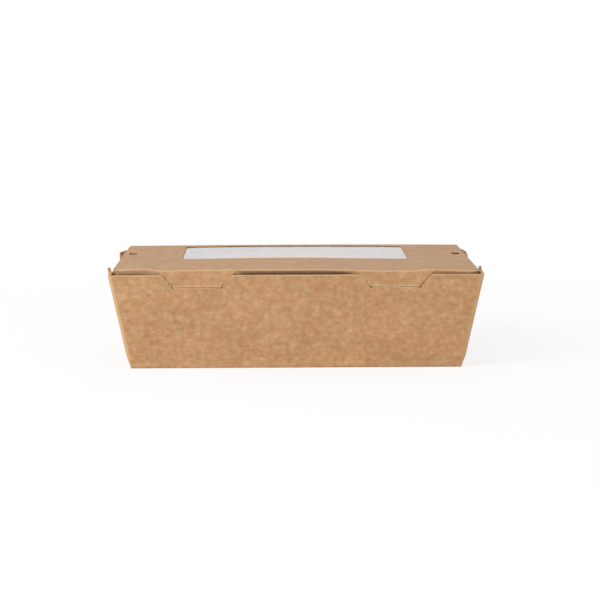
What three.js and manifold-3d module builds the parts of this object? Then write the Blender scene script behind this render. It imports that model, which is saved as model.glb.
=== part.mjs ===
import * as THREE from 'three';
import { mergeVertices } from 'three/addons/utils/BufferGeometryUtils.js';
import Module from 'manifold-3d';

const wasm = await Module();
wasm.setup();

// A window lunch box: a tray folded from one sheet of kraft board, a lid hinged on its back wall,
// and a clear film glued under the lid's window.
// Millimetres. X runs to the right, Y to the back, Z up, and the origin is under the middle of the base.

// Board and film
const boardThickness = 0.45;
const plyGap = 0.12;
const filmThickness = 0.15;
const pieceClearance = 0.3;

// Tray
const baseWidth = 178.8;
const baseDepth = 99.4;
const rimWidth = 201.3;
const rimDepth = 120;
const rimHeight = 52.1;
const cornerRound = 2;
const cornerRoundAtBase = 0.3;
const webReach = 32;
const webSpringFrontLeft = 3.2;
const webSpringFrontRight = 2.2;
const webSpringRearLeft = 1.9;
const webSpringRearRight = 0.4;
const webStartHeight = 7.5;
const webFoot = 0.5;

// Notches in the front wall's rim
const notchSpacing = 106.2;
const notchTopWidth = 38;
const notchBottomWidth = 26.4;
const notchDepth = 6.9;
const notchReliefRadius = 0.7;

// Lid
const lidRise = 2.4;
const lidSideClearance = 0.95;
const lidCrownFront = 0.7;
const lidCrownRear = 1.3;
const frontFlapDepth = 17;
const frontFlapTaper = 6;
const frontFlapSideGap = 4;
const sideFlapDepth = 13;
const sideFlapTaper = 8;
const sideFlapEndGap = 6;
const windowWidth = 127;
const windowDepth = 57;
const windowCentreY = 21;
const windowCornerRadius = 3;
const filmMargin = 8;
const ventWidth = 4.5;
const ventLength = 9;
const ventInset = 5.2;
const ventCentreY = 17;
const ventCornerRadius = 1;

// Mesh fineness
const arcSteps = 4;
const webColumns = 3;
const lidColumns = 20;
const lidRows = 4;
const flatColumns = 12;
const rodSides = 10;
const cutterMargin = 5;

// Values worked out from the sizes above
const plyPitch = boardThickness + plyGap;
const halfBoard = boardThickness / 2;
const baseLap = halfBoard;
const outerPlyX = rimWidth / 2 - halfBoard;
const sideRimX = outerPlyX - 2 * plyPitch;
const frontRimY = rimDepth / 2 - halfBoard;
const wallHeight = rimHeight - halfBoard;
const frontSlope = (frontRimY - baseDepth / 2) / wallHeight;
const sideSlope = (sideRimX - baseWidth / 2) / wallHeight;
const lidMidZ = rimHeight + lidRise - halfBoard;
const lidHalfWidth = sideRimX - boardThickness - lidSideClearance;
const flapOffset = boardThickness + pieceClearance;
const lidFrontY = -(wallY(lidMidZ) - flapOffset);
const lidRearY = wallY(lidMidZ) + halfBoard;

// Half depth of the tray at a height, on the middle of the front or back wall's board
function wallY(z) {
  return baseDepth / 2 + frontSlope * (z - halfBoard);
}

// Half width of the tray at a height, on the middle of a side wall's board
function wallX(z) {
  return baseWidth / 2 + sideSlope * (z - halfBoard);
}

function smoothRise(fraction) {
  return THREE.MathUtils.smoothstep(fraction, 0, 1);
}

// How far the corner's plies have opened out at a height: 0 at the base, 1 above its lowest part
function plySpread(z) {
  return smoothRise((z - halfBoard) / (webStartHeight - halfBoard));
}

function heightShare(z) {
  return (z - halfBoard) / wallHeight;
}

function roundAt(z) {
  return cornerRoundAtBase + (cornerRound - cornerRoundAtBase) * plySpread(z);
}

// Height of the lid's middle layer: highest along the centre line, more so towards the back
function lidHeight(x, y) {
  const across = 1 - (x / lidHalfWidth) ** 2;
  const crown = THREE.MathUtils.mapLinear(y, lidFrontY, lidRearY, lidCrownFront, lidCrownRear);
  return lidMidZ + crown * across;
}

// Turns a closed three.js geometry into a solid that can be joined and cut
function toSolid(source) {
  const bare = source.clone();
  bare.deleteAttribute('normal');
  bare.deleteAttribute('uv');
  const merged = mergeVertices(bare);
  const spots = merged.attributes.position.array;
  const corners = Array.from(merged.index.array);
  const faces = [];
  let volume = 0;
  const a = new THREE.Vector3();
  const b = new THREE.Vector3();
  const c = new THREE.Vector3();
  for (let i = 0; i < corners.length; i += 3) {
    const [first, second, third] = corners.slice(i, i + 3);
    if (first === second || second === third || third === first) continue;
    a.fromArray(spots, first * 3);
    b.fromArray(spots, second * 3);
    c.fromArray(spots, third * 3);
    volume += a.dot(b.cross(c));
    faces.push([first, second, third]);
  }
  const outward = volume < 0 ? faces.map((face) => face.reverse()) : faces;
  return new wasm.Manifold(new wasm.Mesh({
    numProp: 3,
    vertProperties: new Float32Array(spots),
    triVerts: new Uint32Array(outward.flat()),
  }));
}

// Turns a finished solid back into a three.js geometry
function toGeometry(solid) {
  const mesh = solid.getMesh();
  const geometry = new THREE.BufferGeometry();
  const spots = new THREE.BufferAttribute(new Float32Array(mesh.vertProperties), mesh.numProp);
  geometry.setAttribute('position', spots);
  geometry.setIndex(Array.from(mesh.triVerts));
  geometry.computeVertexNormals();
  return geometry;
}

function join(solids) {
  return solids.reduce((whole, solid) => whole.add(solid));
}

// A sheet of board or film: place(column, row, side) gives the spot of each grid point,
// with side -0.5 on one face and 0.5 on the other
function bentSheet(columns, rows, place) {
  const geometry = new THREE.BoxGeometry(1, 1, 1, columns, rows, 1);
  const spots = geometry.attributes.position;
  for (let i = 0; i < spots.count; i += 1) {
    const column = Math.round((spots.getX(i) + 0.5) * columns);
    const row = Math.round((spots.getY(i) + 0.5) * rows);
    const spot = place(column, row, spots.getZ(i));
    spots.setXYZ(i, spot.x, spot.y, spot.z);
  }
  return toSolid(geometry);
}

const axisX = new THREE.Vector3(1, 0, 0);
const axisY = new THREE.Vector3(0, 1, 0);
const axisZ = new THREE.Vector3(0, 0, 1);

// A round-backed fold: a rod through the given centres, its section lying along two axes
function foldRod(centres, radius, across, beside) {
  const rows = centres.length - 1;
  const geometry = new THREE.CylinderGeometry(radius, radius, 1, rodSides, rows);
  const spots = geometry.attributes.position;
  for (let i = 0; i < spots.count; i += 1) {
    const spot = centres[Math.round((spots.getY(i) + 0.5) * rows)].clone();
    spot.addScaledVector(across, spots.getX(i));
    spot.addScaledVector(beside, spots.getZ(i));
    spots.setXYZ(i, spot.x, spot.y, spot.z);
  }
  return toSolid(geometry);
}

// The step from a line's point to the board's face beside it, so that both stretches keep their thickness
function mitreStep(line, index) {
  const here = line[index];
  const before = line[index - 1] ?? here;
  const after = line[index + 1] ?? here;
  const arriving = new THREE.Vector2().subVectors(here, before).normalize();
  const leaving = new THREE.Vector2().subVectors(after, here).normalize();
  const run = new THREE.Vector2().addVectors(arriving, leaving).normalize();
  const stretch = arriving.length() * leaving.length() > 0 ? 1 / run.dot(leaving) : 1;
  return new THREE.Vector2(run.y, -run.x).multiplyScalar(boardThickness * stretch);
}

// A wall band: section(z) lists its middle line at each height, and the board lies half on each side
function wallBand(heights, section) {
  const lines = heights.map((z) => section(z));
  const columns = lines[0].length - 1;
  return bentSheet(columns, heights.length - 1, (column, row, side) => {
    const step = mitreStep(lines[row], column).multiplyScalar(side);
    const here = lines[row][column];
    return new THREE.Vector3(here.x + step.x, here.y + step.y, here.z ?? heights[row]);
  });
}

// Heights of the rows in the free part of a web, where its plies lie one pitch apart
function openWebHeights() {
  return [0, 0.35, 0.65, 1].map((share) => THREE.MathUtils.lerp(webStartHeight, rimHeight, share));
}

function webHeights() {
  const low = [0, 0.35, 0.7].map((share) => THREE.MathUtils.lerp(halfBoard, webStartHeight, share));
  return [...low, ...openWebHeights()];
}

// Middle line of one web ply at a height, from the corner back to its diagonal fold
function webPly(z, plies, spring) {
  const points = [];
  const start = wallY(z) - roundAt(z);
  const reach = webFoot + (webReach - webFoot) * heightShare(z);
  for (let i = 0; i <= webColumns; i += 1) {
    const share = i / webColumns;
    const lift = spring * share * share * heightShare(z);
    const x = wallX(z) + plies * plyPitch * plySpread(z) + lift;
    points.push(new THREE.Vector2(x, start - reach * share));
  }
  return points;
}

// Points along an end wall's flat stretch. At the rim the back wall rises to just under the lid.
function flatStretch(halfWidth, z, reachesLid) {
  const points = [];
  for (let i = 0; i <= flatColumns; i += 1) {
    const x = THREE.MathUtils.lerp(halfWidth, -halfWidth, i / flatColumns);
    const raised = reachesLid && z === rimHeight && i > 0 && i < flatColumns;
    const height = raised ? lidHeight(x, lidRearY) - halfBoard - pieceClearance : z;
    points.push(new THREE.Vector3(x, wallY(height), height));
  }
  return points;
}

// How far a corner's web springs out at its tip
function webSpring(sideX, sideY) {
  if (sideY < 0) return sideX > 0 ? webSpringFrontRight : webSpringFrontLeft;
  return sideX > 0 ? webSpringRearRight : webSpringRearLeft;
}

// End wall with its rounded corners and the outer plies of its two webs: side is 1 at the back, -1 in front
function endBand(side) {
  return wallBand(webHeights(), (z) => {
    const right = webPly(z, 2, webSpring(1, side));
    const left = webPly(z, 2, webSpring(-1, side)).map((point) => new THREE.Vector2(-point.x, point.y));
    const corner = right[0];
    const radius = roundAt(z);
    const rightArc = [];
    for (let i = 1; i < arcSteps; i += 1) {
      const angle = (i / arcSteps) * Math.PI / 2;
      const x = corner.x - radius * (1 - Math.cos(angle));
      rightArc.push(new THREE.Vector2(x, corner.y + radius * Math.sin(angle)));
    }
    const leftArc = rightArc.map((point) => new THREE.Vector2(-point.x, point.y)).reverse();
    const flat = flatStretch(corner.x - radius, z, side > 0);
    const line = [...right.reverse(), ...rightArc, ...flat, ...leftArc, ...left];
    return line.map((point) => Object.assign(point.clone(), { y: point.y * side }));
  });
}

function sideWall(side) {
  return wallBand(webHeights(), (z) => {
    const half = wallY(z) - roundAt(z);
    return [new THREE.Vector2(side * wallX(z), -half), new THREE.Vector2(side * wallX(z), half)];
  });
}

// The inner ply of a web, the hairpin that joins it to the side wall and the one along its diagonal
function webFolds(sideX, sideY) {
  const spring = webSpring(sideX, sideY);
  const heights = openWebHeights();
  const place = (point) => new THREE.Vector2(point.x * sideX, point.y * sideY);
  const ply = wallBand(heights, (z) => webPly(z, 1, spring).map(place));
  const cornerCentres = heights.map((z) => {
    const start = webPly(z, 0.5, spring)[0];
    return new THREE.Vector3(start.x * sideX, start.y * sideY, z);
  });
  const tipCentres = heights.map((z) => {
    const tip = webPly(z, 1.5, spring)[webColumns];
    return new THREE.Vector3(tip.x * sideX, tip.y * sideY, z);
  });
  const radius = halfBoard + plyPitch / 2;
  return [ply, foldRod(cornerCentres, radius, axisX, axisY), foldRod(tipCentres, radius, axisX, axisY)];
}

// A flat outline cut through upright board: corners as X and Z, swept along Y
function frontCutter(corners, nearY, farY) {
  const outline = new THREE.Shape(corners.map(([x, z]) => new THREE.Vector2(x, z)));
  const geometry = new THREE.ExtrudeGeometry(outline, { depth: farY - nearY, bevelEnabled: false });
  geometry.rotateX(Math.PI / 2);
  geometry.translate(0, farY, 0);
  return toSolid(geometry);
}

// Corners of a notch widened by a margin on its sides and bottom, up to a height
function notchCorners(centreX, margin, topZ) {
  const lean = (notchTopWidth - notchBottomWidth) / 2 / notchDepth;
  const bottomZ = rimHeight - notchDepth - margin;
  const half = notchBottomWidth / 2 + margin * (Math.hypot(1, lean) - lean);
  const topHalf = half + lean * (topZ - bottomZ);
  return [
    [centreX - half, bottomZ],
    [centreX + half, bottomZ],
    [centreX + topHalf, topZ],
    [centreX - topHalf, topZ],
  ];
}

const notchCentres = [-notchSpacing / 2, notchSpacing / 2];

function notchCutters() {
  const cutters = [];
  for (const centreX of notchCentres) {
    const corners = notchCorners(centreX, 0, rimHeight + cutterMargin);
    cutters.push(frontCutter(corners, -rimDepth / 2 - cutterMargin, -baseDepth / 2));
    for (const [x, z] of corners.slice(0, 2)) {
      const relief = new THREE.CylinderGeometry(
        notchReliefRadius, notchReliefRadius, rimDepth / 2 - baseDepth / 2 + cutterMargin, rodSides,
      );
      relief.translate(x, -(rimDepth + baseDepth) / 4, z);
      cutters.push(toSolid(relief));
    }
  }
  return cutters;
}

// The base reaches a little past the middle of the walls' board, which stand in its edge
function basePanel() {
  const panel = new THREE.BoxGeometry(baseWidth + baseLap, baseDepth + baseLap, boardThickness);
  panel.translate(0, 0, halfBoard);
  return toSolid(panel);
}

function traySolid() {
  const pieces = [basePanel(), endBand(-1), endBand(1)];
  for (const sideX of [-1, 1]) {
    pieces.push(sideWall(sideX));
    for (const sideY of [-1, 1]) {
      pieces.push(...webFolds(sideX, sideY));
    }
  }
  return join(pieces).subtract(join(notchCutters()));
}

// An outline with rounded corners, centred on a point
function roundedOutline(centreX, centreY, width, depth, radius) {
  const outline = new THREE.Shape();
  const right = width / 2 - radius;
  const back = depth / 2 - radius;
  const quarter = Math.PI / 2;
  outline.absarc(centreX + right, centreY + back, radius, 0, quarter);
  outline.absarc(centreX - right, centreY + back, radius, quarter, 2 * quarter);
  outline.absarc(centreX - right, centreY - back, radius, 2 * quarter, 3 * quarter);
  outline.absarc(centreX + right, centreY - back, radius, 3 * quarter, 4 * quarter);
  return outline;
}

function lidCutter(outline) {
  const geometry = new THREE.ExtrudeGeometry(outline, {
    depth: 2 * cutterMargin,
    bevelEnabled: false,
    curveSegments: arcSteps,
  });
  geometry.translate(0, 0, lidMidZ - cutterMargin);
  return toSolid(geometry);
}

function lidPanel() {
  return bentSheet(lidColumns, lidRows, (column, row, side) => {
    const x = THREE.MathUtils.lerp(-lidHalfWidth, lidHalfWidth, column / lidColumns);
    const y = THREE.MathUtils.lerp(lidFrontY, lidRearY, row / lidRows);
    return new THREE.Vector3(x, y, lidHeight(x, y) + side * boardThickness);
  });
}

function lidCutters() {
  const ventX = lidHalfWidth - ventInset;
  const cutters = [
    lidCutter(roundedOutline(0, windowCentreY, windowWidth, windowDepth, windowCornerRadius)),
  ];
  for (const side of [-1, 1]) {
    const vent = roundedOutline(side * ventX, ventCentreY, ventWidth, ventLength, ventCornerRadius);
    cutters.push(lidCutter(vent));
  }
  return cutters;
}

// The front flap hangs from the lid's front fold just behind the front wall
function frontFlap() {
  const topHalf = lidHalfWidth - frontFlapSideGap;
  const flap = bentSheet(lidColumns, 2, (column, row, side) => {
    const share = row / 2;
    const half = topHalf - frontFlapTaper * share * share;
    const x = THREE.MathUtils.lerp(-half, half, column / lidColumns);
    const z = THREE.MathUtils.lerp(lidHeight(x, lidFrontY), lidMidZ - frontFlapDepth, share);
    return new THREE.Vector3(x, -(wallY(z) - flapOffset) + side * boardThickness, z);
  });
  const openings = notchCentres.map((centreX) => {
    const corners = notchCorners(centreX, -pieceClearance, lidMidZ - boardThickness);
    return frontCutter(corners, -rimDepth / 2 - cutterMargin, -baseDepth / 2);
  });
  return flap.subtract(join(openings));
}

// A tongue bends down from the lid's front edge and lies in its notch, flush with the front wall
function tongue(centreX) {
  const topZ = lidMidZ + lidCrownFront;
  const corners = notchCorners(centreX, -pieceClearance, topZ);
  const bottomZ = corners[0][1];
  const bottomHalf = (corners[1][0] - corners[0][0]) / 2;
  const topHalf = (corners[2][0] - corners[3][0]) / 2;
  const lean = (topHalf - bottomHalf) / (topZ - bottomZ);
  return bentSheet(4, 4, (column, row, side) => {
    const across = column / 2 - 1;
    const edgeX = centreX + across * topHalf;
    const foldZ = lidHeight(edgeX, lidFrontY);
    const path = [
      [-wallY(bottomZ), bottomZ, -1, 0],
      [-wallY(foldZ - boardThickness), foldZ - boardThickness, -1, 0],
      [-wallY(foldZ) + halfBoard / 2, foldZ - halfBoard / 2, -Math.SQRT1_2, Math.SQRT1_2],
      [-wallY(foldZ) + boardThickness, foldZ, 0, 1],
      [lidFrontY + boardThickness, foldZ, 0, 1],
    ];
    const [y, z, outY, outZ] = path[row];
    const half = bottomHalf + lean * (z - bottomZ);
    const shift = side * boardThickness;
    return new THREE.Vector3(centreX + across * half, y + outY * shift, z + outZ * shift);
  });
}

function sideFlap(side) {
  const frontY = lidFrontY + sideFlapEndGap;
  const rearY = lidRearY - sideFlapEndGap;
  return bentSheet(2, 2, (column, row, face) => {
    const share = row / 2;
    const taper = sideFlapTaper * share * share;
    const y = THREE.MathUtils.lerp(frontY + taper, rearY - taper, column / 2);
    const z = lidMidZ - sideFlapDepth * share;
    const x = lidHalfWidth - sideSlope * (lidMidZ - z);
    return new THREE.Vector3(side * (x + face * boardThickness), y, z);
  });
}

function lidFolds() {
  const centres = [];
  const topHalf = lidHalfWidth - frontFlapSideGap;
  for (let i = 0; i <= lidColumns; i += 1) {
    const x = THREE.MathUtils.lerp(-topHalf, topHalf, i / lidColumns);
    centres.push(new THREE.Vector3(x, lidFrontY, lidHeight(x, lidFrontY)));
  }
  const folds = [foldRod(centres, halfBoard, axisY, axisZ)];
  for (const side of [-1, 1]) {
    const front = new THREE.Vector3(side * lidHalfWidth, lidFrontY + sideFlapEndGap, lidMidZ);
    const rear = new THREE.Vector3(side * lidHalfWidth, lidRearY - sideFlapEndGap, lidMidZ);
    folds.push(foldRod([front, rear], halfBoard, axisX, axisZ));
  }
  return folds;
}

function lidSolid() {
  const panel = lidPanel().subtract(join(lidCutters()));
  const tongues = notchCentres.map((centreX) => tongue(centreX));
  return join([panel, frontFlap(), sideFlap(-1), sideFlap(1), ...tongues, ...lidFolds()]);
}

// The film follows the lid's underside and laps the window on every side
function filmSolid() {
  const halfWidth = windowWidth / 2 + filmMargin;
  const halfDepth = windowDepth / 2 + filmMargin;
  const drop = halfBoard + pieceClearance + filmThickness / 2;
  return bentSheet(lidColumns, lidRows, (column, row, side) => {
    const x = THREE.MathUtils.lerp(-halfWidth, halfWidth, column / lidColumns);
    const y = THREE.MathUtils.lerp(-halfDepth, halfDepth, row / lidRows) + windowCentreY;
    return new THREE.Vector3(x, y, lidHeight(x, y) - drop + side * filmThickness);
  });
}

const kraftBoard = new THREE.MeshStandardMaterial({ color: 0xc1946b, roughness: 0.88, metalness: 0 });
const lidBoard = new THREE.MeshStandardMaterial({ color: 0xc39d79, roughness: 0.86, metalness: 0 });
const clearFilm = new THREE.MeshStandardMaterial({
  color: 0xe6e8ee,
  roughness: 0.08,
  metalness: 0,
  transparent: true,
  opacity: 0.4,
});

function namedMesh(name, solid, material) {
  const mesh = new THREE.Mesh(toGeometry(solid), material);
  mesh.name = name;
  return mesh;
}

const lunchBox = new THREE.Group();
const lidGroup = new THREE.Group();
lunchBox.add(namedMesh('tray', traySolid(), kraftBoard));
lidGroup.add(namedMesh('lid', lidSolid(), lidBoard));
lidGroup.add(namedMesh('window_film', filmSolid(), clearFilm));
lunchBox.add(lidGroup);

export default lunchBox;
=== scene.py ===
import math

import bmesh
import bpy
from mathutils import Matrix, Vector, noise


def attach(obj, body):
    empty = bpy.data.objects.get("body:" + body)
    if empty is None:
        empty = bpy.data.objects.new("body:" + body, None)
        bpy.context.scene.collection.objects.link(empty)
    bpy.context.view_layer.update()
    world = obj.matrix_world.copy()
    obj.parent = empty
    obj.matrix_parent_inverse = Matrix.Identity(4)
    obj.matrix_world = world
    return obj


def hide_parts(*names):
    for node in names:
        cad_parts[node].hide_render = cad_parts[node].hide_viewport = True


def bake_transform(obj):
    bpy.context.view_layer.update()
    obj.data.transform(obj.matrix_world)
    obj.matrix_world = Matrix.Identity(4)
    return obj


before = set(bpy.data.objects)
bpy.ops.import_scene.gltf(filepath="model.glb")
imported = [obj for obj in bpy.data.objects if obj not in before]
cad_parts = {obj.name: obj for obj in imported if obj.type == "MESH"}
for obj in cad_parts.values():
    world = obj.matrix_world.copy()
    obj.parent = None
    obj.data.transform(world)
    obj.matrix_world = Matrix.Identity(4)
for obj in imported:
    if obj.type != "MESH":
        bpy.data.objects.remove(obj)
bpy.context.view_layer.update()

mm = 0.001

# Board that the whole box is folded from
board = {
    "thickness": 0.45 * mm,
    "foldRadius": 0.5 * mm,
    "foldSteps": 5,
    "waviness": 0.22 * mm,
    "waveLength": 48 * mm,
    "flatMargin": 16 * mm,
    "sharpAngle": math.radians(38),
    # Where in the noise the unevenness of each panel is taken from
    "waveSeeds": {"lid": 1.7, "wall": 4.2, "base": 9.1},
    # How strong a painted highlight, a paler colour, the board gets where it is creased or cut
    "paintedHighlight": {"baseCrease": 0.4, "corner": 0.6, "lidFold": 0.8, "tongueFold": 0.7, "tongueEdge": 0.85},
}

halfBoard = board["thickness"] / 2
foldRadius = board["foldRadius"]
weldDistance = 1e-7
roundOff = 1e-6  # a part of a normal that is smaller than this is nothing
edgeSlot = 1  # in the lists of materials, a cut edge comes this far after its face
tongueSlot = 2  # the tongues' face, in the lid's materials


def lerp(a, b, share):
    return a + (b - a) * share


def smoothRise(share):
    share = max(0.0, min(1.0, share))
    return share * share * (3 - 2 * share)


def bend(start, corner, end, share):  # rounds a fold between two flat stretches
    return start * (1 - share) ** 2 + corner * 2 * share * (1 - share) + end * share ** 2


def wave(x, y, seed, halfX, halfY):  # the slow unevenness of a large panel, fading out towards its folds
    edge = min(halfX - abs(x), halfY - abs(y))
    spot = Vector((x / board["waveLength"], y / board["waveLength"], seed))
    return noise.noise(spot) * board["waviness"] * smoothRise(edge / board["flatMargin"])


def noPaintedHighlight(column, row):
    return 0


def gridSheet(columns, rows, place, paintedHighlight=noPaintedHighlight):  # a flat grid, its points moved to their folded place
    bm = bmesh.new()
    # each point's share of painted highlight, which the kraft materials read
    paintedHighlightShare = bm.verts.layers.float.new("paintedHighlightShare")
    bmesh.ops.create_grid(bm, x_segments=columns, y_segments=rows, size=0.5)
    for vert in bm.verts:
        column = round((vert.co.x + 0.5) * columns)
        row = round((vert.co.y + 0.5) * rows)
        vert.co = place(column, row)
        vert[paintedHighlightShare] = paintedHighlight(column, row)
    return bm


def edgeLine(bm, width, isShown):  # a thin band of the cut edge's colour along the open edges: the board's pale core, and a painted highlight where the cut edge catches light
    made = bmesh.ops.inset_region(
        bm, faces=bm.faces, use_boundary=True, use_even_offset=True, use_interpolate=True, thickness=width)
    for face in made["faces"]:
        if isShown(face.calc_center_median()):
            face.material_index = edgeSlot


def cutOpening(bm, planes, isNear):  # planes is a list of points and outward normals round the opening
    for point, normal in planes:
        faces = [face for face in bm.faces if isNear(face.calc_center_median())]
        edges = {edge for face in faces for edge in face.edges}
        verts = {vert for face in faces for vert in face.verts}
        geometry = [*verts, *edges, *faces]
        bmesh.ops.bisect_plane(bm, geom=geometry, dist=weldDistance, plane_co=point, plane_no=normal)
    inside = []
    for face in bm.faces:
        centre = face.calc_center_median()
        if isNear(centre) and all((centre - point).dot(normal) < 0 for point, normal in planes):
            inside.append(face)
    bmesh.ops.delete(bm, geom=inside, context="FACES")


def towards(part, reach):  # reach in the direction of a normal's part, or 0 where that part is nothing
    return math.copysign(reach, part) if abs(part) > roundOff else 0


def roundedPlanes(centreX, centreY, hole):  # tangent planes of a rounded rectangle
    radius = hole["cornerRadius"]
    planes = []
    for index in range(4 * hole["cornerSteps"]):
        angle = index * math.pi / 2 / hole["cornerSteps"]
        normal = Vector((math.cos(angle), math.sin(angle), 0))
        reachX = towards(normal.x, hole["width"] / 2 - radius)
        reachY = towards(normal.y, hole["depth"] / 2 - radius)
        point = Vector((centreX + reachX, centreY + reachY, 0)) + normal * radius
        planes.append((point, normal))
    return planes


def boardMesh(bm, materials, thickness=board["thickness"]):  # gives a sheet its thickness and cut edge
    mesh = bpy.data.meshes.new("sheet")
    bm.to_mesh(mesh)
    bm.free()
    holder = bpy.data.objects.new("sheet", mesh)
    bpy.context.scene.collection.objects.link(holder)
    for material in materials:
        mesh.materials.append(material)
    solidify = holder.modifiers.new("thickness", "SOLIDIFY")
    solidify.thickness = thickness
    solidify.offset = 0
    solidify.material_offset_rim = edgeSlot
    depsgraph = bpy.context.evaluated_depsgraph_get()
    made = bpy.data.meshes.new_from_object(holder.evaluated_get(depsgraph))
    bpy.data.objects.remove(holder)
    bpy.data.meshes.remove(mesh)
    return made


def joinMeshes(name, meshes, materials):
    whole = bmesh.new()
    for mesh in meshes:
        whole.from_mesh(mesh)
        bpy.data.meshes.remove(mesh)
    joined = bpy.data.meshes.new(name)
    whole.to_mesh(joined)
    whole.free()
    for material in materials:
        joined.materials.append(material)
    for polygon in joined.polygons:
        polygon.use_smooth = True
    joined.set_sharp_from_angle(angle=board["sharpAngle"])
    piece = bpy.data.objects.new(name, joined)
    bpy.context.scene.collection.objects.link(piece)
    return piece


# Materials

def linear(colour):  # from 0 to 255 as seen on a screen, to the light that a shader wants
    shares = [channel / 255 for channel in colour]
    return [s / 12.92 if s <= 0.04045 else ((s + 0.055) / 1.055) ** 2.4 for s in shares] + [1]


def newMaterial(name):
    material = bpy.data.materials.new(name)
    material.use_nodes = True
    material.node_tree.nodes.clear()
    return material, material.node_tree.nodes, material.node_tree.links


def noiseNode(nodes, links, mapping, settings):  # settings is scale, detail and roughness
    node = nodes.new("ShaderNodeTexNoise")
    for socket, value in zip(("Scale", "Detail", "Roughness"), settings):
        node.inputs[socket].default_value = value
    links.new(mapping.outputs["Vector"], node.inputs["Vector"])
    return node


def objectMapping(nodes, links, stretch=(1, 1, 1), shift=(0, 0, 0)):
    coordinates = nodes.new("ShaderNodeTexCoord")
    mapping = nodes.new("ShaderNodeMapping")
    mapping.inputs["Scale"].default_value = stretch
    mapping.inputs["Location"].default_value = shift
    links.new(coordinates.outputs["Object"], mapping.inputs["Vector"])
    return mapping


def rampNode(nodes, links, noiseSource, stops):
    ramp = nodes.new("ShaderNodeValToRGB")
    elements = ramp.color_ramp.elements
    while len(elements) < len(stops):
        elements.new(0.5)
    for element, (position, colour) in zip(elements, stops):
        element.position = position
        element.color = colour
    links.new(noiseSource.outputs["Fac"], ramp.inputs["Fac"])
    return ramp


def mixColours(nodes, links, share, first, second, kind="MIX"):
    mix = nodes.new("ShaderNodeMix")
    mix.data_type = "RGBA"
    mix.blend_type = kind
    for name, value in (("Factor", share), ("A", first), ("B", second)):
        if isinstance(value, bpy.types.NodeSocket):
            links.new(value, mix.inputs[name])
        else:
            mix.inputs[name].default_value = value
    return mix.outputs["Result"]


# Layers that the board's colour is multiplied by: the noise's scale, detail and roughness, whether it is
# drawn out along the grain, and the colours at two or three of its levels
kraftLayers = {
    "clouds": {
        "noise": (55, 3, 0.55), "alongGrain": False,
        "stops": [(0.3, (0.93, 0.92, 0.9, 1)), (0.7, (1.05, 1.05, 1.05, 1))]},
    "tint": {
        "noise": (140, 2, 0.55), "alongGrain": False,
        "stops": [(0.35, (1.03, 0.97, 0.95, 1)), (0.65, (0.98, 1.02, 1.0, 1))]},
    "pale": {
        "noise": (210, 4, 0.6), "alongGrain": False,
        "stops": [(0.55, (1, 1, 1, 1)), (0.72, (1.12, 1.18, 1.2, 1))]},
    "strands": {
        "noise": (420, 5, 0.65), "alongGrain": True,
        "stops": [(0.32, (0.86, 0.84, 0.82, 1)), (0.5, (1, 1, 1, 1)), (0.72, (1.08, 1.08, 1.09, 1))]},
    "flecks": {
        "noise": (1500, 2, 0.5), "alongGrain": True,
        "stops": [(0.26, (0.62, 0.55, 0.5, 1)), (0.34, (1, 1, 1, 1))]},
}
blotchLevels = {"dark": 0.3, "middle": 0.5, "light": 0.7}

kraftLook = {
    # the paler last colour is the painted highlight for creases, folds and cut edges
    "dark": (181, 137, 96), "middle": (191, 148, 107), "light": (202, 162, 121), "paintedHighlight": (214, 176, 133),
    "blotches": (330, 3, 0.6), "shift": (0.3, 0.7, 0.1), "grain": (0.28, 1.6, 1.6),
    "clouds": 0.9, "tint": 1.0, "pale": 1.0, "strands": 0.6, "flecks": 0.4,
    "bump": 0.22, "bumpDepth": 0.1 * mm, "roughness": 0.82, "specular": 0.35,
}
edgeLook = dict(
    kraftLook, dark=(204, 164, 122), middle=(216, 178, 136), light=(226, 190, 150), paintedHighlight=(220, 184, 142),
    shift=(0.9, 0.2, 0.5), grain=(0.4, 0.4, 8), strands=0.7, flecks=0.2, roughness=0.95, specular=0.1,
)
# The lid panel's copy of the kraft, painted darker and greyer: painted shade against the light on its top,
# and a painted sheen for the white it reflects at a grazing angle
lidShadeAndSheenLook = dict(
    kraftLook, dark=(176, 137, 103), middle=(183, 145, 111), light=(190, 153, 119), paintedHighlight=(210, 171, 129),
    blotches=(240, 3, 0.6), shift=(1.3, 0.4, 0.8), grain=(0.1, 1.2, 1.2), clouds=0.6, pale=0.4, strands=0.7,
)


def kraftMaterial(name, look):
    material, nodes, links = newMaterial(name)
    even = objectMapping(nodes, links, shift=look["shift"])
    streaky = objectMapping(nodes, links, stretch=look["grain"], shift=look["shift"])
    tones = [(level, linear(look[tone])) for tone, level in blotchLevels.items()]
    colour = rampNode(nodes, links, noiseNode(nodes, links, even, look["blotches"]), tones).outputs["Color"]
    sources = {}
    for layer, settings in kraftLayers.items():
        mapping = streaky if settings["alongGrain"] else even
        sources[layer] = noiseNode(nodes, links, mapping, settings["noise"])
        ramp = rampNode(nodes, links, sources[layer], settings["stops"])
        colour = mixColours(nodes, links, look[layer], colour, ramp.outputs["Color"], "MULTIPLY")
    # painted highlight: the paler colour is mixed in as far as each point's share says
    paintedHighlightShare = nodes.new("ShaderNodeAttribute")
    paintedHighlightShare.attribute_name = "paintedHighlightShare"
    colour = mixColours(nodes, links, paintedHighlightShare.outputs["Fac"], colour, linear(look["paintedHighlight"]))
    bump = nodes.new("ShaderNodeBump")
    bump.inputs["Strength"].default_value = look["bump"]
    bump.inputs["Distance"].default_value = look["bumpDepth"]
    links.new(sources["strands"].outputs["Fac"], bump.inputs["Height"])
    shader = nodes.new("ShaderNodeBsdfPrincipled")
    shader.inputs["Roughness"].default_value = look["roughness"]
    shader.inputs["Specular IOR Level"].default_value = look["specular"]
    links.new(colour, shader.inputs["Base Color"])
    links.new(bump.outputs["Normal"], shader.inputs["Normal"])
    output = nodes.new("ShaderNodeOutputMaterial")
    links.new(shader.outputs["BSDF"], output.inputs["Surface"])
    return material


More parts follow.
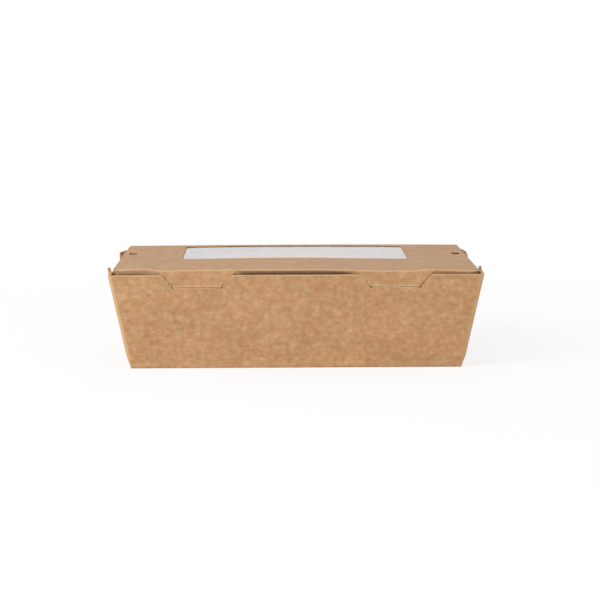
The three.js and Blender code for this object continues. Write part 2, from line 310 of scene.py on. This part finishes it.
filmLook = {
    "colour": (250, 247, 253), "roughness": 0.03, "ior": 1.5, "coat": 0.22,
    "ripple": 0.12, "rippleDepth": 0.2 * mm, "rippleNoise": (35, 2, 0.55),
}


def filmMaterial(name, look):  # clear and glossy, and no hindrance to the light that falls through it
    material, nodes, links = newMaterial(name)
    mapping = objectMapping(nodes, links)
    ripple = noiseNode(nodes, links, mapping, look["rippleNoise"])
    bump = nodes.new("ShaderNodeBump")
    bump.inputs["Strength"].default_value = look["ripple"]
    bump.inputs["Distance"].default_value = look["rippleDepth"]
    links.new(ripple.outputs["Fac"], bump.inputs["Height"])
    shader = nodes.new("ShaderNodeBsdfPrincipled")
    shader.inputs["Base Color"].default_value = linear(look["colour"])
    shader.inputs["Roughness"].default_value = look["roughness"]
    shader.inputs["IOR"].default_value = look["ior"]
    shader.inputs["Transmission Weight"].default_value = 1
    shader.inputs["Coat Weight"].default_value = look["coat"]
    links.new(bump.outputs["Normal"], shader.inputs["Normal"])
    clear = nodes.new("ShaderNodeBsdfTransparent")
    path = nodes.new("ShaderNodeLightPath")
    mix = nodes.new("ShaderNodeMixShader")
    links.new(path.outputs["Is Shadow Ray"], mix.inputs["Fac"])
    links.new(shader.outputs["BSDF"], mix.inputs[1])
    links.new(clear.outputs["BSDF"], mix.inputs[2])
    output = nodes.new("ShaderNodeOutputMaterial")
    links.new(mix.outputs["Shader"], output.inputs["Surface"])
    return material


kraftFace = kraftMaterial("kraftFace", kraftLook)
kraftEdge = kraftMaterial("kraftEdge", edgeLook)
# the lid panel's material carries painted shade and painted sheen
lidShadeAndSheenFace = kraftMaterial("lidShadeAndSheenFace", lidShadeAndSheenLook)
clearFilm = filmMaterial("clearFilm", filmLook)
trayMaterials = [kraftFace, kraftEdge]
lidMaterials = [lidShadeAndSheenFace, kraftEdge, kraftFace, kraftEdge]  # the panel and flaps in the painted shade and sheen copy of the kraft, then the tongues in the plain kraft
print("materials made")


# Tray, measured on the middle of the board
tray = {
    "baseWidth": 178.8 * mm,
    "baseDepth": 99.4 * mm,
    "rimWidth": 201.3 * mm,
    "rimDepth": 120 * mm,
    "rimHeight": 52.1 * mm,
    "plyPitch": 0.57 * mm,
    "leastPitch": 0.06 * mm,
    "cornerRound": 2 * mm,
    "cornerRoundAtBase": 0.3 * mm,
    "webReach": 32 * mm,
    "webFoot": 0.5 * mm,
    "webOpensAt": 7.5 * mm,
    # How far each web stands off at its tip, and how much more its outer ply does where it bulges
    "springs": {
        "frontLeft": (3.2 * mm, 0),
        "frontRight": (2.2 * mm, 0),
        "rearLeft": (0.8 * mm, 2.5 * mm),
        "rearRight": (0.2 * mm, 1.2 * mm),
    },
    "bulgeAt": 0.36,
    "bulgePeak": 1.2,
    "innerPlyShare": 0.72,
    "rimLine": 0.38 * mm,
    "baseCreases": (1.8 * mm, 3.1 * mm),
    "baseCreaseHalf": 0.35 * mm,
    "baseCreaseProud": 0.07 * mm,
    "baseLap": 0.02 * mm,
    "lowRows": 5,
    "wallRows": 20,
    "wallColumns": 80,
    "sideColumns": 44,
    "webColumns": 14,
    "cornerColumns": 8,
    "baseColumns": 60,
    "baseRows": 34,
    "foldWeld": 0.002 * mm,
}

wallRise = tray["rimHeight"] - halfBoard
frontSlope = ((tray["rimDepth"] - tray["baseDepth"]) / 2 - halfBoard) / wallRise
sideRimX = tray["rimWidth"] / 2 - halfBoard - 2 * tray["plyPitch"]
sideSlope = (sideRimX - tray["baseWidth"] / 2) / wallRise
squareOn = 0.999  # a wall whose normal has more than this along an axis faces that way


def wallY(z):  # half depth of the tray at a height
    return tray["baseDepth"] / 2 + frontSlope * (z - halfBoard)


def wallX(z):  # half width of the tray at a height
    return tray["baseWidth"] / 2 + sideSlope * (z - halfBoard)


# Lid and its window, whose shape the back wall, the crease and the film follow
lid = {
    "rise": 2.4 * mm,
    "crownFront": 0.7 * mm,
    "crownMost": 1.37 * mm,
    "crownRear": 0.35 * mm,
    # How far the front fold stands above or below its straight line, from left to right
    "frontLine": [
        (-98 * mm, 0.55 * mm), (-88 * mm, 0.85 * mm), (-81 * mm, 0.9 * mm), (-73.5 * mm, 0),
        (10 * mm, 0), (45 * mm, -0.8 * mm), (60 * mm, -0.8 * mm), (72 * mm, 0), (98 * mm, -0.5 * mm),
    ],
    "windowSag": 0.5 * mm,
    "sagSideFade": 22 * mm,
    "clearance": 0.3 * mm,
    "sideClearance": 0.95 * mm,
    "flapBow": 3.2 * mm,
    "flapBowDrop": 2.2 * mm,
    "flapBowOutside": 0.45,
    "flapBowFade": 9 * mm,
    "frontFlapDepth": 17 * mm,
    "frontFlapTaper": 6 * mm,
    "frontFlapSideGap": 4 * mm,
    "sideFlapDepth": 13 * mm,
    "sideFlapTaper": 8 * mm,
    "sideFlapEndGap": 6 * mm,
    "panelColumns": 84,
    "panelRows": 50,
    "flapSteps": 8,
    "leastFace": 1e-12,
}

window = {
    "width": 127 * mm,
    "depth": 57 * mm,
    "centreY": 21 * mm,
    "cornerRadius": 3 * mm,
    "cornerSteps": 4,
    "cutMargin": 2 * mm,
}

lidMidZ = tray["rimHeight"] + lid["rise"] - halfBoard
lidHalfWidth = sideRimX - board["thickness"] - lid["sideClearance"]
flapOffset = board["thickness"] + lid["clearance"]
lidFrontY = -(wallY(lidMidZ) - flapOffset)
lidRearY = wallY(lidMidZ)


def frontLineOffset(x):
    spots = lid["frontLine"]
    for (fromX, fromZ), (toX, toZ) in zip(spots, spots[1:]):
        if x <= toX:
            return lerp(fromZ, toZ, smoothRise((x - fromX) / (toX - fromX)))
    return spots[-1][1]


def lidHeight(x, y):  # crowned, highest along the window's rear edge, drooping from there to the crease
    across = 1 - min(1.0, abs(x / lidHalfWidth)) ** 2
    lowestY = window["centreY"] - window["depth"] / 2
    highestY = window["centreY"] + window["depth"] / 2
    if y < highestY:
        crown = lerp(lid["crownFront"], lid["crownMost"], (y - lidFrontY) / (highestY - lidFrontY))
    else:
        crown = lerp(lid["crownMost"], lid["crownRear"], (y - highestY) / (lidRearY - highestY))
    offset = frontLineOffset(x) * (lidRearY - y) / (lidRearY - lidFrontY)
    sag = lid["windowSag"] * smoothRise((lidHalfWidth - abs(x)) / lid["sagSideFade"])
    sag *= smoothRise((y - lidFrontY) / (lowestY - lidFrontY))
    sag *= smoothRise((highestY - y) / (highestY - lowestY))
    unevenness = wave(x, y, board["waveSeeds"]["lid"], lidHalfWidth, lidRearY)
    return lidMidZ + crown * across + offset - sag + unevenness


# Tray walls: one closed ring of board, with three plies where the corner webs are folded

def plySpread(z):
    return smoothRise((z - halfBoard) / (tray["webOpensAt"] - halfBoard))


def cornerRadius(z):
    return lerp(tray["cornerRoundAtBase"], tray["cornerRound"], plySpread(z))


def plyX(z, plies, spring, share):
    pitch = max(tray["leastPitch"], tray["plyPitch"] * plySpread(z))
    atTip, bulge = spring
    lift = atTip * share * share
    if plies == 2:
        rise = min(share / tray["bulgeAt"], (1 - share) / (1 - tray["bulgeAt"]))
        lift += bulge * rise ** tray["bulgePeak"]
    else:
        lift *= tray["innerPlyShare"]
    return wallX(z) + plies * pitch + lift * (z - halfBoard) / wallRise


def hairpin(z, plies, spring, share, y, turn):  # half circle from one ply round to the next one in
    outer = plyX(z, plies, spring, share)
    inner = plyX(z, plies - 1, spring, share)
    radius = (outer - inner) / 2
    points = []
    for index in range(1, tray["cornerColumns"]):
        angle = math.pi * index / tray["cornerColumns"]
        x = inner + radius + radius * math.cos(angle)
        points.append((x, y + turn * radius * math.sin(angle), 1, 0))
    return points


def cornerPath(z, spring):  # from the front or back wall, round the web's plies, to the side wall
    radius = cornerRadius(z)
    outerX = plyX(z, 2, spring, 0)
    startY = wallY(z) - radius
    reach = lerp(tray["webFoot"], tray["webReach"], (z - halfBoard) / wallRise)
    points = []
    for index in range(tray["cornerColumns"]):
        angle = math.pi / 2 * index / tray["cornerColumns"]
        x = outerX - radius + radius * math.sin(angle)
        points.append((x, startY + radius * math.cos(angle), math.sin(angle), math.cos(angle)))
    shares = [index / tray["webColumns"] for index in range(tray["webColumns"] + 1)]
    for share in shares:
        points.append((plyX(z, 2, spring, share), startY - reach * share, 1, 0))
    points += hairpin(z, 2, spring, 1, startY - reach, -1)
    for share in reversed(shares):
        points.append((plyX(z, 1, spring, share), startY - reach * share, 1, 0))
    points += hairpin(z, 1, spring, 0, startY, 1)
    return points


def mirrored(points, signX, signY, backwards):
    turned = [(x * signX, y * signY, nx * signX, ny * signY) for x, y, nx, ny in points]
    return turned[::-1] if backwards else turned


def straight(start, end, steps, normal):  # leaves out both ends
    points = []
    for index in range(1, steps):
        share = index / steps
        points.append((lerp(start[0], end[0], share), lerp(start[1], end[1], share), *normal))
    return points


def ringSection(z):  # once round the tray at a height, as x, y and the outward normal
    corners = {name: cornerPath(z, spring) for name, spring in tray["springs"].items()}
    endX = corners["frontRight"][0][0]
    endY = wallY(z)
    sideX = wallX(z)
    sideY = endY - cornerRadius(z)
    flat = tray["wallColumns"]
    side = tray["sideColumns"]
    ring = [(-endX, -endY, 0, -1)]
    ring += straight((-endX, -endY), (endX, -endY), flat, (0, -1))
    ring += mirrored(corners["frontRight"], 1, -1, False)
    ring.append((sideX, -sideY, 1, 0))
    ring += straight((sideX, -sideY), (sideX, sideY), side, (1, 0))
    ring.append((sideX, sideY, 1, 0))
    ring += mirrored(corners["rearRight"], 1, 1, True)
    ring += straight((endX, endY), (-endX, endY), flat, (0, 1))
    ring += mirrored(corners["rearLeft"], -1, 1, False)
    ring.append((-sideX, sideY, -1, 0))
    ring += straight((-sideX, sideY), (-sideX, -sideY), side, (-1, 0))
    ring.append((-sideX, -sideY, -1, 0))
    ring += mirrored(corners["frontLeft"], -1, -1, True)
    return ring


def wallHeights():
    heights = [halfBoard + foldRadius]
    for z in tray["baseCreases"]:
        heights += [z - tray["baseCreaseHalf"], z, z + tray["baseCreaseHalf"]]
    low, rows = tray["lowRows"], tray["wallRows"]
    heights += [lerp(heights[-1], tray["webOpensAt"], index / low) for index in range(1, low)]
    heights += [lerp(tray["webOpensAt"], tray["rimHeight"], index / rows) for index in range(rows + 1)]
    return heights


def backRimHeight(x):  # the back wall reaches the crease, and steps down at its two ends
    raised = lidHeight(x, lidRearY) - foldRadius
    end = tray["rimWidth"] / 2 - 2 * tray["cornerRound"]
    return lerp(tray["rimHeight"], raised, smoothRise((end - abs(x)) / tray["cornerRound"] + 1))


def wallRing():
    heights = wallHeights()
    sections = [ringSection(z) for z in heights]
    folds = board["foldSteps"]
    columns = len(sections[0]) - 1
    backRow = [ny > squareOn for _, _, _, ny in sections[0]]

    def place(column, row):
        if row < folds:
            angle = math.pi / 2 * (1 - row / folds)
            x, y, nx, ny = sections[0][column]
            inward = foldRadius * (1 - math.cos(angle))
            return Vector((x - nx * inward, y - ny * inward, heights[0] - foldRadius * math.sin(angle)))
        x, y, nx, ny = sections[row - folds][column]
        z = heights[row - folds]
        if z in tray["baseCreases"]:
            x += nx * tray["baseCreaseProud"]
            y += ny * tray["baseCreaseProud"]
        if backRow[column]:
            z = halfBoard + (z - halfBoard) * (backRimHeight(x) - halfBoard) / wallRise
            y = wallY(z)
        if abs(ny) > squareOn:
            middle = tray["rimHeight"] / 2
            bulge = wave(x, z - middle, board["waveSeeds"]["wall"] + ny, sideRimX, middle)
            return Vector((x, y + ny * bulge, z))
        return Vector((x, y, z))

    def paintedHighlight(column, row):  # painted highlight: paler along the base creases and round the corner folds
        _, _, nx, ny = sections[0][column]
        z = heights[max(0, row - folds)]
        if z in tray["baseCreases"]:
            return board["paintedHighlight"]["baseCrease"]
        onCorner = ny != 0 and abs(ny) < squareOn and abs(nx) < squareOn
        return board["paintedHighlight"]["corner"] * plySpread(z) if onCorner else 0

    return gridSheet(columns, folds + len(heights) - 1, place, paintedHighlight)


# Notches in the front wall, and the lid's tongues that lie in them
notch = {
    "spacing": 106.2 * mm,
    "topWidth": 38 * mm,
    "bottomWidth": 26.4 * mm,
    "depth": 6.9 * mm,
    "reliefRadius": 0.7 * mm,
    "reliefSides": 10,
    "gap": 0.3 * mm,
    "shiftInwards": 0.18 * mm,
    "proud": -0.02 * mm,
    "lip": 0.3 * mm,
    "lipHeight": 1.3 * mm,
    "cornerEase": 0.3 * mm,
    "rootLap": 2 * mm,
    "rootRaise": 0.02 * mm,
    "columns": 18,
    "rows": 16,
    "rowSpread": 1.6,
    "wornRows": 2,
    # How far round a cut its faces are looked for
    "wallCutMargin": 1 * mm,
    "reliefCutReach": 2.5 * mm,
    "flapCutMargin": 2 * mm,
    "flapCutBehind": 5 * mm,
}
notchCentres = (-notch["spacing"] / 2, notch["spacing"] / 2)


def notchSides(margin):  # the bottom's height and half width, and how far the sides lean out per height
    lean = (notch["topWidth"] - notch["bottomWidth"]) / 2 / notch["depth"]
    bottomZ = tray["rimHeight"] - notch["depth"] - margin
    bottomHalf = notch["bottomWidth"] / 2 + margin * (math.hypot(1, lean) - lean)
    return bottomZ, bottomHalf, lean


def notchPlanes(centreX, margin):
    bottomZ, bottomHalf, lean = notchSides(margin)
    planes = [(Vector((centreX, 0, bottomZ)), Vector((0, 0, -1)))]
    for side in (-1, 1):
        normal = Vector((side, 0, -lean)).normalized()
        planes.append((Vector((centreX + side * bottomHalf, 0, bottomZ)), normal))
    return planes


def reliefPlanes(x, z):
    planes = []
    for index in range(notch["reliefSides"]):
        angle = 2 * math.pi * (index + 0.5) / notch["reliefSides"]
        normal = Vector((math.cos(angle), 0, math.sin(angle)))
        planes.append((Vector((x, 0, z)) + normal * notch["reliefRadius"], normal))
    return planes


def nearOnWall(x, z, reach, outerY):
    return lambda spot: spot.y < outerY and abs(spot.x - x) < reach and abs(spot.z - z) < reach


def baseSheet():
    halfX = tray["baseWidth"] / 2 - foldRadius + tray["baseLap"]
    halfY = tray["baseDepth"] / 2 - foldRadius + tray["baseLap"]

    def place(column, row):
        x = lerp(-halfX, halfX, column / tray["baseColumns"])
        y = lerp(-halfY, halfY, row / tray["baseRows"])
        lift = max(0, wave(x, y, board["waveSeeds"]["base"], halfX, halfY))
        return Vector((x, y, halfBoard + lift))

    return gridSheet(tray["baseColumns"], tray["baseRows"], place)


def buildTray():
    ring = wallRing()
    bmesh.ops.remove_doubles(ring, verts=ring.verts, dist=tray["foldWeld"])
    wallFront = -tray["baseDepth"] / 2
    notchReach = notch["topWidth"] / 2 + notch["wallCutMargin"]
    bottomZ, bottomHalf, _ = notchSides(0)
    for centreX in notchCentres:
        near = nearOnWall(centreX, tray["rimHeight"], notchReach, wallFront)
        cutOpening(ring, notchPlanes(centreX, 0), near)
        for x in (centreX - bottomHalf, centreX + bottomHalf):
            near = nearOnWall(x, bottomZ, notch["reliefCutReach"], wallFront)
            cutOpening(ring, reliefPlanes(x, bottomZ), near)
    # the pale band along the upper open edges is the pale core and, in part, a painted highlight
    edgeLine(ring, tray["rimLine"], lambda spot: spot.z > tray["webOpensAt"])
    meshes = [boardMesh(sheet, trayMaterials) for sheet in (ring, baseSheet())]
    return joinMeshes("trayBoard", meshes, trayMaterials)


trayBoard = buildTray()
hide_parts("tray")
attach(trayBoard, "tray")
print("tray folded")


# Lid: panel, front flap and side flaps are one sheet, and its tongues are cut from the front flap

def flapY(z):
    return -(wallY(z) - flapOffset)


def bowAt(x, drop):  # how far the front flap leans in: it is held at the tongues, and free elsewhere
    fade = lid["flapBowFade"]
    inner = (notch["spacing"] - notch["topWidth"]) / 2
    outer = (notch["spacing"] + notch["topWidth"]) / 2
    between = smoothRise((inner - abs(x)) / fade)
    outside = lid["flapBowOutside"] * smoothRise((abs(x) - outer) / fade)
    return lid["flapBow"] * (between + outside) * (1 - math.exp(-drop / lid["flapBowDrop"]))


def lidStations():  # columns from the left flap's edge to the right one's, as kind, side and share
    flap = [("flap", 1 - index / lid["flapSteps"]) for index in range(lid["flapSteps"])]
    fold = [("fold", 1 - index / board["foldSteps"]) for index in range(board["foldSteps"])]
    left = [(kind, -1, share) for kind, share in flap + fold]
    right = [(kind, 1, share) for kind, _, share in reversed(left)]
    panel = [("panel", 0, index / lid["panelColumns"]) for index in range(lid["panelColumns"] + 1)]
    return left + panel + right


def lidSheet():
    stations = lidStations()
    flapRows = lid["flapSteps"]
    foldRows = board["foldSteps"]
    panelRows = lid["panelRows"]
    panelHalf = lidHalfWidth - foldRadius
    panelFront = lidFrontY + foldRadius
    panelRear = lidRearY - foldRadius
    flapTopHalf = lidHalfWidth - lid["frontFlapSideGap"]
    flapBottomZ = lidMidZ - lid["frontFlapDepth"]

    def frontSpot(across, row):  # rows of the front flap and its fold, bottom first
        if row >= flapRows:
            share = (row - flapRows) / foldRows
            x = across * lerp(flapTopHalf, panelHalf, share)
            top = lidHeight(x, lidFrontY)
            start = Vector((x, flapY(top - foldRadius), top - foldRadius))
            end = Vector((x, panelFront, lidHeight(x, panelFront)))
            return bend(start, Vector((x, flapY(top), top)), end, share)
        share = (1 - row / flapRows) ** 2
        x = across * (flapTopHalf - lid["frontFlapTaper"] * share * share)
        top = lidHeight(x, lidFrontY) - foldRadius
        z = lerp(top, flapBottomZ, share)
        return Vector((x, flapY(z) + bowAt(x, top - z), z))

    def sideSpot(kind, side, share, row):
        along = (row - flapRows - foldRows) / panelRows
        setback = lid["sideFlapEndGap"] * share if kind == "fold" else lid["sideFlapEndGap"]
        if kind == "flap":
            setback += lid["sideFlapTaper"] * share * share
        y = lerp(panelFront + setback, panelRear - setback, along)
        top = lidHeight(side * panelHalf, y)
        if kind == "fold":
            start = Vector((panelHalf, y, top))
            corner = Vector((lidHalfWidth, y, top))
            end = Vector((lidHalfWidth - sideSlope * foldRadius, y, top - foldRadius))
            spot = bend(start, corner, end, share)
        else:
            drop = lerp(foldRadius, lid["sideFlapDepth"], share)
            spot = Vector((lidHalfWidth - sideSlope * drop, y, top - drop))
        return Vector((spot.x * side, spot.y, spot.z))

    def place(column, row):
        kind, side, share = stations[column]
        if kind != "panel":
            return sideSpot(kind, side, share, max(row, flapRows + foldRows))
        across = 2 * share - 1
        if row < flapRows + foldRows:
            return frontSpot(across, row)
        x = across * panelHalf
        y = lerp(panelFront, panelRear, (row - flapRows - foldRows) / panelRows)
        return Vector((x, y, lidHeight(x, y)))

    # painted highlight along the lid's front fold
    def paintedHighlight(column, row):
        return board["paintedHighlight"]["lidFold"] if flapRows < row < flapRows + foldRows else 0

    sheet = gridSheet(len(stations) - 1, flapRows + foldRows + panelRows, place, paintedHighlight)
    # The side flaps have no rows beside the front flap, so what is flat there is cleared away
    bmesh.ops.dissolve_degenerate(sheet, dist=weldDistance, edges=sheet.edges)
    loose = [face for face in sheet.faces if face.calc_area() < lid["leastFace"]]
    bmesh.ops.delete(sheet, geom=loose, context="FACES")
    bmesh.ops.remove_doubles(sheet, verts=sheet.verts, dist=weldDistance)
    return sheet


def tongueSheet(centreX):
    bottomZ, bottomHalf, lean = notchSides(-notch["gap"])
    shift = -math.copysign(notch["shiftInwards"], centreX)
    proud = notch["proud"]
    topZ = lidMidZ + lid["crownFront"]
    topHalf = bottomHalf + lean * (topZ - bottomZ)
    folds = board["foldSteps"]
    rows = notch["rows"]
    flatRows = rows - folds - 1

    def place(column, row):
        across = 2 * column / notch["columns"] - 1
        edgeX = centreX + across * topHalf
        top = lidHeight(edgeX, lidFrontY) + notch["rootRaise"]
        frontY = -(wallY(min(top, topZ)) + proud)
        if row >= flatRows:
            share = (row - flatRows) / folds
            if share > 1:
                return Vector((edgeX + shift, frontY + foldRadius + notch["rootLap"], top))
            start = Vector((edgeX, -(wallY(top - foldRadius) + proud), top - foldRadius))
            corner = Vector((edgeX, frontY, top))
            end = Vector((edgeX, frontY + foldRadius, top))
            return bend(start, corner, end, share) + Vector((shift, 0, 0))
        share = (row / flatRows) ** notch["rowSpread"]
        z = lerp(bottomZ, top - foldRadius, share)
        low = 1 - smoothRise((z - bottomZ) / notch["lipHeight"])
        half = bottomHalf + lean * (z - bottomZ) - notch["cornerEase"] * low
        return Vector((centreX + across * half + shift, -(wallY(z) + proud + notch["lip"] * low), z))

    # painted highlight along the tongue's proud bottom edge and along its fold at the top
    def paintedHighlight(column, row):
        if row < notch["wornRows"]:
            return board["paintedHighlight"]["tongueEdge"]
        return board["paintedHighlight"]["tongueFold"] if rows - folds <= row < rows - 1 else 0

    sheet = gridSheet(notch["columns"], rows, place, paintedHighlight)
    for face in sheet.faces:
        face.material_index = tongueSlot
    return sheet


# Two small slots, one at each side of the window
vent = {
    "width": 4.5 * mm,
    "depth": 9 * mm,
    "inset": 5.2 * mm,
    "centreY": 17 * mm,
    "cornerRadius": 1 * mm,
    "cornerSteps": 2,
    "cutBelow": 1 * mm,
}


def nearVent(x):
    def near(spot):
        inPlan = abs(spot.x - x) < vent["width"] and abs(spot.y - vent["centreY"]) < vent["depth"]
        return inPlan and spot.z > lidMidZ - vent["cutBelow"]
    return near


def nearWindow(spot):
    reachX = window["width"] / 2 + window["cutMargin"]
    reachY = window["depth"] / 2 + window["cutMargin"]
    return abs(spot.x) < reachX and abs(spot.y - window["centreY"]) < reachY


def buildLid():
    sheet = lidSheet()
    cutOpening(sheet, roundedPlanes(0, window["centreY"], window), nearWindow)
    for side in (-1, 1):
        x = side * (lidHalfWidth - vent["inset"])
        cutOpening(sheet, roundedPlanes(x, vent["centreY"], vent), nearVent(x))
    flapReach = notch["topWidth"] / 2 + notch["flapCutMargin"]
    flapRear = flapY(lidMidZ) + notch["flapCutBehind"]
    tongues = []
    for centreX in notchCentres:
        flapTop = Vector((0, 0, lidHeight(centreX, lidFrontY) - 2 * foldRadius))
        planes = notchPlanes(centreX, -notch["gap"]) + [(flapTop, Vector((0, 0, 1)))]
        cutOpening(sheet, planes, nearOnWall(centreX, tray["rimHeight"], flapReach, flapRear))
        tongues.append(boardMesh(tongueSheet(centreX), lidMaterials))
    return joinMeshes("lidBoard", [boardMesh(sheet, lidMaterials), *tongues], lidMaterials)


lidBoard = buildLid()
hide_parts("lid")
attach(lidBoard, "lid")
print("lid folded")


# Crease along the back, where the lid and the back wall are one board
crease = {"lap": 0.9 * mm, "proud": 0.02 * mm, "columns": 60, "lapSteps": 3, "bendSteps": 8}
creaseFront = lidRearY - foldRadius


def buildCrease():
    laps = crease["lapSteps"]
    bends = crease["bendSteps"]
    halfWidth = lidHalfWidth - foldRadius

    def place(column, row):
        x = lerp(-halfWidth, halfWidth, column / crease["columns"])
        top = lidHeight(x, lidRearY)
        if row < laps:
            z = top - foldRadius - crease["lap"] * (1 - row / laps)
            return Vector((x, wallY(z), z))
        if row <= laps + bends:
            start = Vector((x, wallY(top - foldRadius), top - foldRadius))
            end = Vector((x, creaseFront, lidHeight(x, creaseFront)))
            return bend(start, Vector((x, lidRearY, top)), end, (row - laps) / bends)
        y = creaseFront - crease["lap"] * (row - laps - bends) / laps
        return Vector((x, y, lidHeight(x, y)))

    strip = gridSheet(crease["columns"], 2 * laps + bends, place)
    thickness = board["thickness"] + 2 * crease["proud"]
    return joinMeshes("hingeCrease", [boardMesh(strip, trayMaterials, thickness)], trayMaterials)


hingeCrease = buildCrease()
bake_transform(hingeCrease)
print("crease made")


film = {"margin": 8 * mm, "thickness": 0.1 * mm, "gap": 0.14 * mm, "columns": 60, "rows": 30}


def buildFilm():  # follows the lid's underside and laps the window on every side
    halfX = window["width"] / 2 + film["margin"]
    halfY = window["depth"] / 2 + film["margin"]
    drop = halfBoard + film["gap"] + film["thickness"] / 2

    def place(column, row):
        x = lerp(-halfX, halfX, column / film["columns"])
        y = lerp(-halfY, halfY, row / film["rows"]) + window["centreY"]
        return Vector((x, y, lidHeight(x, y) - drop))

    sheet = gridSheet(film["columns"], film["rows"], place)
    return joinMeshes("filmSheet", [boardMesh(sheet, [clearFilm], film["thickness"])], [clearFilm])


filmSheet = buildFilm()
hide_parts("window_film")
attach(filmSheet, "lid")
print("film made")


# White paper under the box, which glows more with distance so that it meets the white sky
studio = {
    "skyForLight": 0.62,
    "floorSize": 12,
    "floorDrop": 0.1 * mm,
    "floorColour": (252, 252, 252),
    "floorGlow": 0.82,
    "floorWhiteFrom": 0.16,
    "floorWhiteTo": 0.42,
    "lamps": {
        "key": {"place": (-0.72, -0.64, 0.7), "size": 0.7, "power": 7.2},
        "fill": {"place": (0.9, -0.7, 0.8), "size": 1.1, "power": 0.4},
        "back": {"place": (0.1, 1.1, 0.9), "size": 1.0, "power": 2.2},
    },
}


def cameraLikeRays(nodes, links):  # 1 for camera, glossy and transmission rays
    path = nodes.new("ShaderNodeLightPath")
    total = path.outputs["Is Camera Ray"]
    for name in ("Is Glossy Ray", "Is Transmission Ray"):
        larger = nodes.new("ShaderNodeMath")
        larger.operation = "MAXIMUM"
        links.new(total, larger.inputs[0])
        links.new(path.outputs[name], larger.inputs[1])
        total = larger.outputs["Value"]
    return total


def glowShare(nodes, links):  # how much of the floor's look is its own glow, for the rays that are seen
    coordinates = nodes.new("ShaderNodeTexCoord")
    distance = nodes.new("ShaderNodeVectorMath")
    distance.operation = "LENGTH"
    links.new(coordinates.outputs["Object"], distance.inputs[0])
    whiter = nodes.new("ShaderNodeMapRange")
    whiter.inputs["From Min"].default_value = studio["floorWhiteFrom"]
    whiter.inputs["From Max"].default_value = studio["floorWhiteTo"]
    whiter.inputs["To Min"].default_value = studio["floorGlow"]
    links.new(distance.outputs["Value"], whiter.inputs["Value"])
    share = nodes.new("ShaderNodeMath")
    share.operation = "MULTIPLY"
    links.new(cameraLikeRays(nodes, links), share.inputs[0])
    links.new(whiter.outputs["Result"], share.inputs[1])
    return share.outputs["Value"]


def floorMaterial():
    material, nodes, links = newMaterial("floorPaper")
    diffuse = nodes.new("ShaderNodeBsdfDiffuse")
    diffuse.inputs["Color"].default_value = linear(studio["floorColour"])
    glow = nodes.new("ShaderNodeEmission")
    mix = nodes.new("ShaderNodeMixShader")
    output = nodes.new("ShaderNodeOutputMaterial")
    links.new(glowShare(nodes, links), mix.inputs["Fac"])
    links.new(diffuse.outputs["BSDF"], mix.inputs[1])
    links.new(glow.outputs["Emission"], mix.inputs[2])
    links.new(mix.outputs["Shader"], output.inputs["Surface"])
    return material


def buildFloor():
    bm = bmesh.new()
    bmesh.ops.create_grid(bm, x_segments=1, y_segments=1, size=studio["floorSize"] / 2)
    bmesh.ops.translate(bm, verts=bm.verts, vec=(0, 0, -studio["floorDrop"]))
    mesh = bpy.data.meshes.new("floor")
    bm.to_mesh(mesh)
    bm.free()
    mesh.materials.append(floorMaterial())
    paper = bpy.data.objects.new("floor", mesh)
    bpy.context.scene.collection.objects.link(paper)
    return paper


def buildSky():
    world = bpy.data.worlds.new("studioSky")
    world.use_nodes = True
    nodes, links = world.node_tree.nodes, world.node_tree.links
    nodes.clear()
    seen = nodes.new("ShaderNodeBackground")
    lighting = nodes.new("ShaderNodeBackground")
    lighting.inputs["Strength"].default_value = studio["skyForLight"]
    for node in (seen, lighting):
        node.inputs["Color"].default_value = (1, 1, 1, 1)
    mix = nodes.new("ShaderNodeMixShader")
    output = nodes.new("ShaderNodeOutputWorld")
    links.new(cameraLikeRays(nodes, links), mix.inputs["Fac"])
    links.new(lighting.outputs["Background"], mix.inputs[1])
    links.new(seen.outputs["Background"], mix.inputs[2])
    links.new(mix.outputs["Shader"], output.inputs["Surface"])
    bpy.context.scene.world = world


def buildLamp(name, settings):  # every lamp looks at the box
    lamp = bpy.data.lights.new(name, "AREA")
    lamp.shape = "DISK"
    lamp.size = settings["size"]
    lamp.energy = settings["power"]
    holder = bpy.data.objects.new(name, lamp)
    holder.location = settings["place"]
    holder.rotation_euler = (-Vector(settings["place"])).to_track_quat("-Z", "Y").to_euler()
    bpy.context.scene.collection.objects.link(holder)


# The photograph's view, worked out from the box's corners in it
photoView = {
    "place": (-12.64 * mm, -1003.41 * mm, 174.06 * mm),
    "target": (2.78 * mm, 0, 29.94 * mm),
    "roll": math.radians(-0.14),
    "lens": 107.13,
    "sensor": 36,
}


def buildCamera():
    lens = bpy.data.cameras.new("photoCamera")
    lens.lens = photoView["lens"]
    lens.sensor_width = photoView["sensor"]
    holder = bpy.data.objects.new("photoCamera", lens)
    place = Vector(photoView["place"])
    facing = (Vector(photoView["target"]) - place).to_track_quat("-Z", "Y").to_matrix().to_4x4()
    roll = Matrix.Rotation(photoView["roll"], 4, "Z")
    holder.matrix_world = Matrix.Translation(place) @ facing @ roll
    bpy.context.scene.collection.objects.link(holder)
    bpy.context.scene.camera = holder


floor = buildFloor()
buildSky()
for lampName, lampSettings in studio["lamps"].items():
    buildLamp(lampName, lampSettings)
buildCamera()
bpy.context.scene.view_settings.view_transform = "Standard"
print("studio set")
